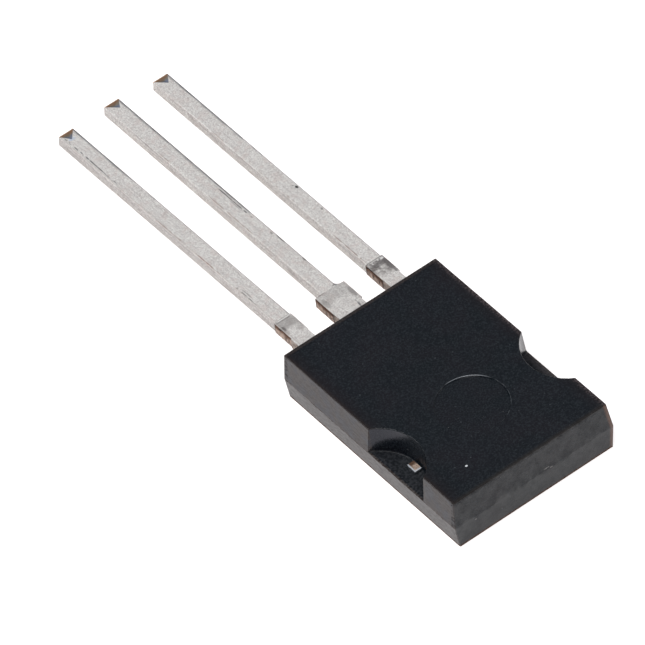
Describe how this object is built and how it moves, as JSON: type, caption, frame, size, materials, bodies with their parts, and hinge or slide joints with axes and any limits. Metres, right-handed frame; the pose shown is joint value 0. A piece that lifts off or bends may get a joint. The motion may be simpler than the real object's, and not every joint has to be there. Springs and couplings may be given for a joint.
{
  "type": "triac",
  "caption": "Triac in a flat black plastic power package with in-line tinned leads and arc notches in its sides, held on a heatsink by a clip.",
  "frame": {"origin": "middle of the moulding's back face, on the seating plane that lies on the heatsink", "axes": "+X across the leads towards the gate lead, -Y along the leads, +Z out of the front face"},
  "size_m": [0.0078, 0.0273, 0.0023],
  "materials": {
    "epoxy": "black glass-filled epoxy, fine mould texture",
    "tinned_copper": "dull tin plate over copper",
    "silicon": "metallised silicon with a glass-passivated border",
    "solder": "soft solder",
    "bond_wire": "drawn wire"
  },
  "bodies": {
    "root": {"moulded_body": "epoxy", "mounting_base": "tinned_copper", "main_terminal_lead": "tinned_copper", "gate_lead": "tinned_copper", "triac_die": "silicon", "die_solder": "solder", "main_terminal_wire": "bond_wire", "gate_wire": "bond_wire"}
  },
  "joints": []
}
